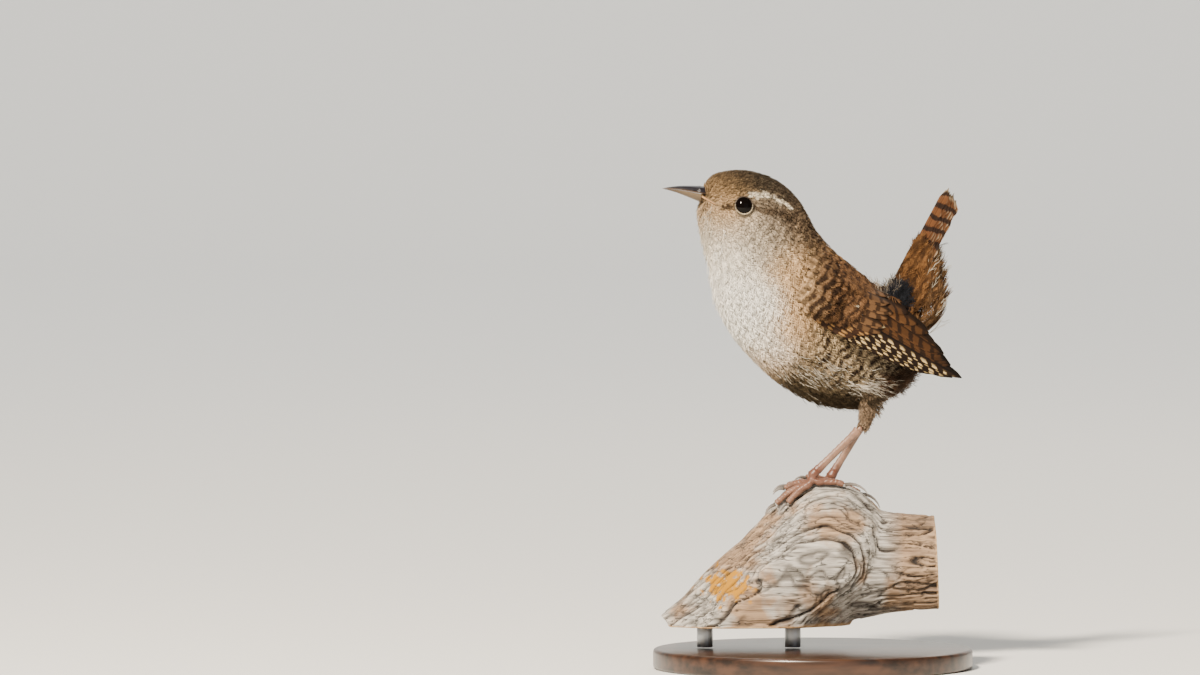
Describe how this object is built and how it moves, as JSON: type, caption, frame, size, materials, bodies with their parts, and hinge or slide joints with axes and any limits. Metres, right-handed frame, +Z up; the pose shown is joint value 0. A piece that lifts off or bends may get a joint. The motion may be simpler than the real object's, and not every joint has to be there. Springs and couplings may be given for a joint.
{
  "type": "life-size wren figure on a perch and stand",
  "caption": "Small brown songbird with a cocked tail, a thin bill and barred wings, gripping a sawn length of weathered branch on a round display stand.",
  "frame": {"origin": "centre of the underside of the stand's base", "axes": "+Z up, the bird looks towards -X and is turned 12 degrees towards -Y, its left side faces -Y"},
  "size_m": [0.08, 0.08, 0.1251],
  "materials": {
    "plumage": "soft body feathers, rufous brown above and pale buff below, finely barred",
    "flight_feathers": "rufous brown vanes with dark bars and buff edges",
    "bill": "dark brown horn, slightly glossy",
    "bill_pale": "pale horn with a darker tip",
    "eye": "wet black",
    "leg_skin": "pinkish brown scaled skin",
    "claw": "pale grey horn",
    "weathered_wood": "bleached, cracked and bark-less, with rough grain",
    "stand_base": "dark stained wood, satin lacquer",
    "stand_rod": "brushed"
  },
  "bodies": {
    "root": {"head": "plumage", "neck": "plumage", "torso": "plumage", "bill_upper": "bill", "bill_lower": "bill_pale", "eye_left": "eye", "eye_right": "eye", "wing_left": "flight_feathers", "wing_right": "flight_feathers", "tail": "flight_feathers", "thigh_left": "plumage", "thigh_right": "plumage", "tarsus_left": "leg_skin", "tarsus_right": "leg_skin", "foot_left": "leg_skin", "foot_right": "leg_skin", "claw_inner_left": "claw", "claw_middle_left": "claw", "claw_outer_left": "claw", "claw_hind_left": "claw", "claw_inner_right": "claw", "claw_middle_right": "claw", "claw_outer_right": "claw", "claw_hind_right": "claw", "perch": "weathered_wood", "stand_base": "stand_base", "stand_rod_1": "stand_rod", "stand_rod_2": "stand_rod"}
  },
  "joints": []
}
